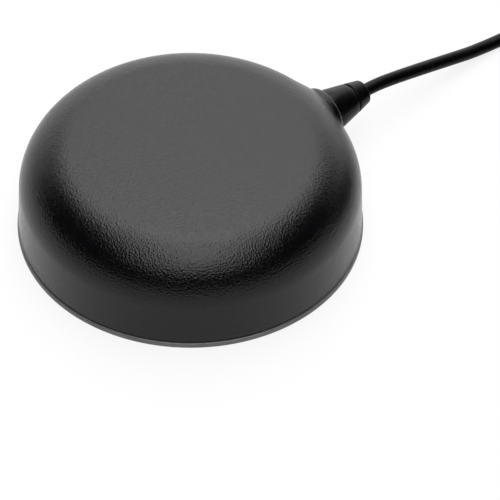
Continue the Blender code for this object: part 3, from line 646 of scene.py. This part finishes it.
# ---------------------------------------------------------------- the housing
def make_radome():
    """The moulded cover, with its boss for the lead and its inner columns and ribs."""
    centre_r, centre_h = CORNER_CENTRE
    dome_radius = centre_r**2 / (2 * DOME_SAG)
    dome_centre = centre_h - math.sqrt((dome_radius - CORNER_RADIUS) ** 2 - centre_r**2)
    lean = math.asin(centre_r / (dome_radius - CORNER_RADIUS))
    outside = arc(CORNER_CENTRE, CORNER_RADIUS, DRAFT, math.pi / 2 - lean, 26)
    dome_steps = 10
    dome = []
    for k in reversed(range(dome_steps)):
        a = lean * k / dome_steps
        dome.append((dome_radius * math.sin(a), dome_centre + dome_radius * math.cos(a)))
    inside = arc(CORNER_CENTRE, CORNER_RADIUS - WALL, math.pi / 2, DRAFT, 10)
    rounding = 0.25
    edge_centre = (SKIRT_RADIUS - rounding, SKIRT_BOTTOM + rounding)
    lower_edge = arc(edge_centre, rounding, -math.pi / 2, 0, 4)
    # Rings up the straight wall keep the roundings above and below out of its shading.
    wall_foot, wall_top = Vector(lower_edge[-1]), Vector(outside[0])
    shares = (0.02, *(k / 12 for k in range(1, 12)), 0.98)
    flank = [wall_foot.lerp(wall_top, share) for share in shares]
    ceiling = (0.0, inside[0][1])
    inner_foot = (SKIRT_RADIUS - WALL, SKIRT_BOTTOM)
    outline = [inner_foot, *lower_edge, *flank, *outside, *dome, ceiling, *inside]

    def swollen(angle, radius, height):
        """The wall stands out a little round the boss, but not at its foot or on top."""
        side = SKIRT_RADIUS * math.remainder(angle - CABLE_AZIMUTH, math.tau)
        away = math.hypot(side, height - CABLE_HEIGHT)
        push = SWELLING * smoothstep(2 * (1 - away / SWELLING_REACH))
        above_foot = smoothstep((height - 2.0) / 3.0)
        off_top = smoothstep((radius - 20.0) / 8.0)
        return radius + push * above_foot * off_top

    made = turned("cover", outline, HOUSING_SEGMENTS, closed=True, shape=swollen)

    column_radius, column_length, column_start = 2.5, 13.8, 4.5
    column = round_bar("column", column_radius, column_length, 32)
    columns = copies("columns", column, HOUSING_SCREW_CIRCLE, CORNERS, column_start)
    rib_size, rib_circle, rib_height = (5.4, 1.2, 8.0), 30.2, 9.2
    ribs = copies("ribs", box("rib", rib_size), rib_circle, CORNERS, rib_height, facing=True)
    pilot_radius, pilot_length, pilot_start = 1.55, 8.0, 3.5
    pilot = round_bar("pilot", pilot_radius, pilot_length, 24)
    pilots = copies("pilots", pilot, HOUSING_SCREW_CIRCLE, CORNERS, pilot_start)

    boss_start, boss_rounding = 32.3, 1.4
    edge_centre = (BOSS_RADIUS - boss_rounding, BOSS_END - boss_rounding)
    edge = arc(edge_centre, boss_rounding, 0.0, math.pi / 2, 12)
    outline = [(0.0, boss_start), (BOSS_RADIUS, boss_start), *edge, (0.0, BOSS_END)]
    boss = turned("boss", outline, 96, ALONG_CABLE)
    bore_start, bore_radius, mouth_radius, chamfer = 30.0, 3.9, 4.75, 0.12
    outline = [
        (0, bore_start),
        (bore_radius, bore_start),
        (bore_radius, BOOT_SEAT),
        (mouth_radius, BOOT_SEAT),
        (mouth_radius, BOSS_END - chamfer),
        (mouth_radius + chamfer, BOSS_END),
        (mouth_radius + chamfer, BOSS_END + 1),
        (0, BOSS_END + 1),
    ]
    bore = turned("bore", outline, 64, ALONG_CABLE)
    steps = [(columns, "UNION"), (ribs, "UNION"), (boss, "UNION")]
    steps += [(bore, "DIFFERENCE"), (pilots, "DIFFERENCE")]
    apply_booleans(made, steps)
    return settle(made, "radome_plastic", "radome")


def make_base():
    """The die-cast base plate: rim, spigot with its seal groove, posts, and pockets from below."""
    rim_centre = (RIM_RADIUS - RIM_ROUNDING, RIM_TOP - RIM_ROUNDING)
    rim_edge = arc(rim_centre, RIM_ROUNDING, math.pi / 2, 0, 5)
    foot = RIM_ROUNDING / 2
    rim_edge += arc((RIM_RADIUS - foot, RIM_BOTTOM + foot), foot, 0, -math.pi / 2, 5)
    recess_radius, recess_top = PAD_RADIUS + GAP, PAD_TOP + GAP
    groove_radius, groove_bottom, groove_top = 30.7, 2.4, 3.6
    chamfer = 0.2
    outline = [
        (0.0, SPIGOT_TOP),
        (SPIGOT_RADIUS - chamfer, SPIGOT_TOP),
        (SPIGOT_RADIUS, SPIGOT_TOP - chamfer),
        (SPIGOT_RADIUS, groove_top),
        (groove_radius, groove_top),
        (groove_radius, groove_bottom),
        (SPIGOT_RADIUS, groove_bottom),
        (SPIGOT_RADIUS, RIM_TOP),
        *rim_edge,
        (recess_radius, RIM_BOTTOM),
        (recess_radius, recess_top),
        (0.0, recess_top),
    ]
    made = turned("base", outline, HOUSING_SEGMENTS)

    post_radius, post_length, post_start = 2.0, 1.6, 3.7
    post = round_bar("post", post_radius, post_length, 32)
    posts = copies("posts", post, STACK_CIRCLE, CORNERS, post_start)
    pocket_radius, pocket_depth, pocket_start = 6.35, 3.0, 0.5
    pocket = round_bar("pocket", pocket_radius, pocket_depth, 48)
    pockets = copies("pockets", pocket, MAGNET_CIRCLE, THIRDS, pocket_start)
    head_radius, shank_radius = 2.5, 1.6
    hole_start, head_seat, hole_end = 0.5, 2.7, 5.2
    outline = [
        (0, hole_start),
        (head_radius, hole_start),
        (head_radius, head_seat),
        (shank_radius, head_seat),
        (shank_radius, hole_end),
        (0, hole_end),
    ]
    holes = copies("holes", turned("hole", outline, 32), HOUSING_SCREW_CIRCLE, CORNERS)
    tap_radius, tap_depth, tap_start = 1.35, 3.5, 2.9
    tapped = round_bar("tapped", tap_radius, tap_depth, 24)
    taps = copies("taps", tapped, STACK_CIRCLE, CORNERS, tap_start)
    steps = [(posts, "UNION"), (pockets, "DIFFERENCE")]
    steps += [(holes, "DIFFERENCE"), (taps, "DIFFERENCE")]
    apply_booleans(made, steps)
    return settle(made, "zinc_base", "base_plate")


def make_pad():
    """The anti-slip pad: a rounded edge, rings of grip ribs and a plain middle."""
    middle_radius, first_groove, grooves, pitch, depth = 11.4, 12.0, 8, 2.0, 0.28
    groove_width, rib_start, rib_end = 0.5, 0.75, pitch - 0.3
    face = [(0.0, 0.0), (middle_radius, 0.0)]
    for k in range(grooves):
        r = first_groove + k * pitch
        face += [(r, depth), (r + groove_width, depth), (r + rib_start, 0.0), (r + rib_end, 0.0)]
    rounding, chamfer = 0.3, 0.1
    edge = arc((PAD_RADIUS - rounding, rounding), rounding, -math.pi / 2, 0, 6)
    top = [(PAD_RADIUS, PAD_TOP - chamfer), (PAD_RADIUS - chamfer, PAD_TOP), (0.0, PAD_TOP)]
    made = turned("pad", [*face, *edge, *top], 192)
    return settle(made, "pad_rubber", "underside_pad")


# ---------------------------------------------------------------- what is on the cord
def make_boot():
    """The tapered strain relief, with its ring groove and rounded nose."""
    seat = BOOT_SEAT + GAP
    flange_start, flange_end, flange_radius, neck_radius, chamfer = 28.9, 30.4, 4.45, 3.6, 0.1
    flange = [
        (BORE_RADIUS, flange_start),
        (flange_radius - chamfer, flange_start),
        (flange_radius, flange_start + chamfer),
        (flange_radius, flange_end - chamfer),
        (flange_radius - chamfer, flange_end),
        (neck_radius, flange_end),
        (neck_radius, seat),
    ]
    taper = [
        (4.36, seat),
        (4.50, 35.34),
        (4.48, 36.6),
        (4.21, 37.9),
        (3.94, 39.15),
        (3.67, 40.4),
        (3.44, 41.5),
    ]
    groove = [(3.36, 41.64), (3.12, 41.68), (3.06, 41.76), (3.06, 42.0), (3.12, 42.07), (3.22, 42.1)]
    cuff = [(3.28, 42.2), (3.08, 43.1), (2.86, 44.0), (2.68, 44.75)]
    nose_radius, rounding = 2.65, 0.55
    nose = arc((nose_radius - rounding, BOOT_END - rounding), rounding, 0.05, math.pi / 2, 8)
    mouth = [(BORE_RADIUS + chamfer, BOOT_END), (BORE_RADIUS, BOOT_END - chamfer)]
    outline = flange + taper + groove + cuff + nose + mouth
    made = turned("boot", outline, 96, ALONG_CABLE, closed=True, sharp=40.0)
    return settle(made, "boot_rubber", "cable_boot")


def make_tie():
    """Hook-and-loop tape round the bundle: one turn with rounded corners and bevelled outer edges."""
    thick, width, bevel, rounding = 0.5, 5.0, 0.12, 3.2
    bundle_half, inner_margin, outer_margin = 6.85, 1.2, 0.85
    bottom, top = 0.06, 15.95
    near = COIL_MEAN_RADIUS - bundle_half - inner_margin
    far = COIL_MEAN_RADIUS + bundle_half + outer_margin
    centres = [
        (far - rounding, bottom + rounding),
        (far - rounding, top - rounding),
        (near + rounding, top - rounding),
        (near + rounding, bottom + rounding),
    ]
    loop = []
    for k, centre in enumerate(centres, start=-1):
        loop += arc(centre, rounding, k * math.pi / 2, (k + 1) * math.pi / 2, 9)
    middle = Vector(((near + far) / 2, (bottom + top) / 2))
    outer, inner = width / 2 - bevel, width / 2
    bm = bmesh.new()
    sections = []
    for spot in map(Vector, loop):
        inward = (middle - spot).normalized()
        section = []
        for side, depth in ((-outer, 0), (outer, 0), (inner, thick), (-inner, thick)):
            place = spot + inward * depth
            section.append(bm.verts.new(Vector((place.x, side, place.y)) * MM))
        sections.append(section)
    for a, b in zip(sections, sections[1:] + sections[:1]):
        for k in range(4):
            m = (k + 1) % 4
            bm.faces.new((a[k], a[m], b[m], b[k]))
    where = Matrix.Translation(Vector((*COIL_CENTRE, 0.0)) * MM) @ Matrix.Rotation(TIE_ANGLE, 4, "Z")
    made = finish_mesh(bm, "tie", where)
    return settle(made, "tie_fabric", "coil_tie")


def make_grip():
    """The plug's moulded grip: stepped relief rings, a fluted body and a collar."""
    rings = [
        (BORE_RADIUS, 0.1),
        (BORE_RADIUS + 0.1, 0.0),
        (2.25, 0.0),
        (2.35, 0.12),
        (2.6, 1.5),
        (2.55, 1.62),
        (2.2, 1.7),
        (2.2, 2.4),
        (2.7, 2.5),
        (2.82, 2.62),
        (3.1, 4.5),
        (3.04, 4.62),
        (2.6, 4.72),
        (2.6, 5.4),
        (3.3, 5.5),
        (3.42, 5.62),
        (3.8, 8.0),
    ]
    body_radius, body_start, body_length, body_steps = 4.9, 9.7, 8.1, 18
    body = [(4.2, 8.5), (4.6, 9.0), (4.85, 9.4)]
    body += [(body_radius, body_start + body_length * k / body_steps) for k in range(body_steps + 1)]
    body += [(4.85, 18.1), (4.7, 18.5), (4.6, 18.6)]
    collar = [(3.9, 18.6), (3.9, 21.0), (3.8, 21.1), (0.0, 21.1)]
    outline = [(0.0, 8.0), (BORE_RADIUS, 8.0), *rings, *body, *collar]
    flute_count, flute_depth, flute_start, flute_end, flute_fade = 10, 0.42, 9.8, 17.6, 1.4

    def flutes(angle, radius, height):
        fade = smoothstep((height - flute_start) / flute_fade)
        fade *= smoothstep((flute_end - height) / flute_fade)
        # A power below 1 widens the flutes.
        wave = max(0.0, math.cos(flute_count * angle)) ** 0.6
        return radius - flute_depth * fade * wave if radius > 4.0 else radius

    made = turned("grip", outline, 160, ALONG_PLUG, shape=flutes)
    return settle(made, "grip_rubber", "plug_grip")


def make_insert():
    """The contact carrier: keyed, its front face a little hollow, a hole for each contact."""
    outline = [
        (0, 21.5),
        (2.6, 21.5),
        (2.7, 21.6),
        (2.7, 27.0),
        (2.5, 27.2),
        (2.3, 27.2),
        (2.2, 27.05),
        (0, 27.05),
    ]
    key_depth, key_half_angle, key_start = 0.35, 0.22, 22.0

    def key(angle, radius, height):
        near = smoothstep(1 - abs(math.remainder(angle, math.tau)) / key_half_angle)
        return radius - key_depth * near if radius > 2.4 and height > key_start else radius

    made = turned("insert", outline, 96, ALONG_PLUG, shape=key)
    drill_radius, drill_length = 0.62, 4.0
    drill = round_bar("drill", drill_radius, drill_length, 20)
    drills = copies("drills", drill, CONTACT_CIRCLE, QUARTERS, CONTACT_START)
    drills.data.transform(ALONG_PLUG)
    apply_booleans(made, [(drills, "DIFFERENCE")])
    return settle(made, "chip_plastic", "plug_insert")


def make_contacts():
    """Four gold pins with round tips."""
    pin_radius, pin_start, pin_end = 0.5, 0.3, 7.8
    tip = arc((0.0, pin_end - pin_radius), pin_radius, 0.0, math.pi / 2, 6)[:-1]
    outline = [(0, pin_start), (pin_radius, pin_start), *tip, (0.0, pin_end)]
    made = []
    for k, angle in enumerate(QUARTERS, start=1):
        spot = Vector(polar(CONTACT_CIRCLE, angle, CONTACT_START)) * MM
        pin = turned(f"contact_{k}", outline, 24, ALONG_PLUG @ Matrix.Translation(spot))
        made.append(settle(pin, "gold", f"contact_pin_{k}"))
    return made


def make_nut():
    """The coupling nut: a knurled grip, then a true screw thread, one millimetre to the turn."""
    length, root, crest, bore = 14.4, 3.4, 4.0, 3.05
    knurls, knurl_radius, knurl_depth, knurl_start, knurl_end = 36, 4.8, 0.14, 0.45, 7.05
    thread_start, thread_end, fade_in, fade_out = 8.1, 14.1, 0.8, 0.5
    rows = 72
    thread_length = thread_end - thread_start
    thread_rows = [(crest, thread_start + thread_length * k / rows) for k in range(rows + 1)]
    outline = [
        (4.2, 0.0),
        (4.5, 0.0),
        (knurl_radius, 0.3),
        (knurl_radius, knurl_start),
        (knurl_radius, knurl_end),
        (knurl_radius, 7.2),
        (4.5, 7.5),
        (4.1, 7.6),
        (root, 7.65),
        (root, 8.0),
        *thread_rows,
        (root - 0.05, length - 0.1),
        (root - 0.15, length),
        (bore + 0.1, length),
        (bore, length - 0.1),
        (bore, 2.3),
        (4.2, 2.3),
    ]

    def cut(angle, radius, height):
        if radius == knurl_radius and knurl_start <= height <= knurl_end:
            return radius - knurl_depth * (1 - math.cos(knurls * angle))
        if radius == crest and thread_start <= height <= thread_end:
            phase = (height - thread_start - angle / math.tau) % 1.0
            fade = smoothstep((height - thread_start) / fade_in)
            fade *= smoothstep((thread_end - height) / fade_out)
            wave = 1 - abs(2 * phase - 1)
            # Cut off at 1, so that the crests are flat.
            return root + (crest - root) * min(1.0, 1.25 * wave) * fade
        return radius

    where = ALONG_PLUG @ Matrix.Translation(Vector((0, 0, NUT_START)) * MM)
    made = turned("nut", outline, 216, where, closed=True, shape=cut)
    return settle(made, "nickel", "coupling_nut", body=NUT_BODY)


# ---------------------------------------------------------------- camera, light and floor
def make_camera():
    """Looks along +Y from 44.4 degrees above, with the puck at the upper left of the frame."""
    elevation = math.radians(44.402)
    distance, target_height = 700.0, 10.0
    frame_width = 98.9707
    aim_right, aim_up = -11.7775, 12.6287
    back = Vector((0.0, -math.cos(elevation), math.sin(elevation)))
    data = bpy.data.cameras.new("camera")
    data.sensor_width = 36.0
    data.lens = data.sensor_width * distance / frame_width
    data.clip_start, data.clip_end = 0.05, 20.0
    made = bpy.data.objects.new("camera", data)
    bpy.context.scene.collection.objects.link(made)
    made.rotation_mode = "QUATERNION"
    # The target stands off the middle of the frame by aim_right and aim_up.
    seen = Vector((aim_right / distance, aim_up / distance, -1.0)).normalized()
    straight = (-back).to_track_quat("-Z", "Y")
    made.rotation_quaternion = straight @ seen.rotation_difference(Vector((0.0, 0.0, -1.0)))
    made.location = (Vector((0.0, 0.0, target_height)) + back * distance) * MM
    bpy.context.scene.camera = made


def make_world():
    """A soft panel overhead, brighter toward the back, and a wide white backdrop behind the puck."""
    world = bpy.data.worlds.new("studio")
    world.use_nodes = True
    bpy.context.scene.world = world
    nodes, links = world.node_tree.nodes, world.node_tree.links
    background = nodes["Background"]
    direction = nodes.new("ShaderNodeSeparateXYZ")
    links.new(nodes.new("ShaderNodeTexCoord").outputs["Generated"], direction.inputs[0])

    def math_node(operation, *values):
        made = nodes.new("ShaderNodeMath")
        made.operation = operation
        for socket, value in zip(made.inputs, values):
            if isinstance(value, (int, float)):
                socket.default_value = value
            else:
                links.new(value, socket)
        return made.outputs[0]

    def edge(value, start, end):
        made = nodes.new("ShaderNodeMapRange")
        made.interpolation_type = "SMOOTHSTEP"
        made.inputs["From Min"].default_value = start
        made.inputs["From Max"].default_value = end
        links.new(value, made.inputs["Value"])
        return made.outputs["Result"]

    x, y, z = direction.outputs
    off_centre = math_node("ABSOLUTE", math_node("SUBTRACT", x, PANEL_CENTRE))
    panel = math_node("SUBTRACT", 1.0, edge(off_centre, *PANEL_SIDE))
    panel = math_node("MULTIPLY", panel, edge(y, *PANEL_NEAR))
    panel = math_node("MULTIPLY", panel, edge(z, *PANEL_LOW))
    panel = math_node("MULTIPLY", panel, math_node("MULTIPLY_ADD", y, PANEL_LEAN, 1.0))
    backdrop = math_node("SUBTRACT", 1.0, edge(z, *BACKDROP_TOP))
    backdrop = math_node("MULTIPLY", backdrop, edge(y, *BACKDROP_SIDE))
    backdrop = math_node("MULTIPLY", backdrop, math_node("MULTIPLY_ADD", x, BACKDROP_LEAN, 1.0))
    light = math_node("MULTIPLY_ADD", backdrop, BACKDROP_LIGHT, SKY_LIGHT)
    light = math_node("MULTIPLY_ADD", panel, PANEL_LIGHT, light)
    links.new(light, background.inputs["Strength"])
    background.inputs["Color"].default_value = (1.0, 1.0, 1.0, 1.0)


def make_floor():
    """A plain floor a hair below the pad, glowing so that it looks white."""
    half_side, below = 6000.0 * MM, -0.02 * MM
    sides = ((-1, -1), (1, -1), (1, 1), (-1, 1))
    corners = [(half_side * x, half_side * y, below) for x, y in sides]
    mesh = bpy.data.meshes.new("floor")
    mesh.from_pydata(corners, [], [(0, 1, 2, 3)])
    look = bpy.data.materials.new("floor")
    look.use_nodes = True
    shader = look.node_tree.nodes["Principled BSDF"]
    shader.inputs["Base Color"].default_value = (0.10, 0.10, 0.10, 1.0)
    shader.inputs["Roughness"].default_value = 0.9
    shader.inputs["Specular IOR Level"].default_value = 0.0
    shader.inputs["Emission Color"].default_value = (1.0, 1.0, 1.0, 1.0)
    shader.inputs["Emission Strength"].default_value = FLOOR_LIGHT
    mesh.materials.append(look)
    made = bpy.data.objects.new("floor", mesh)
    bpy.context.scene.collection.objects.link(made)


make_camera()
lead = make_cord()
make_radome()
make_base()
make_pad()
boot = make_boot()
tie = make_tie()
grip = make_grip()
insert = make_insert()
contacts = make_contacts()
nut = make_nut()
make_world()
make_floor()
bpy.context.scene.view_settings.view_transform = "Standard"
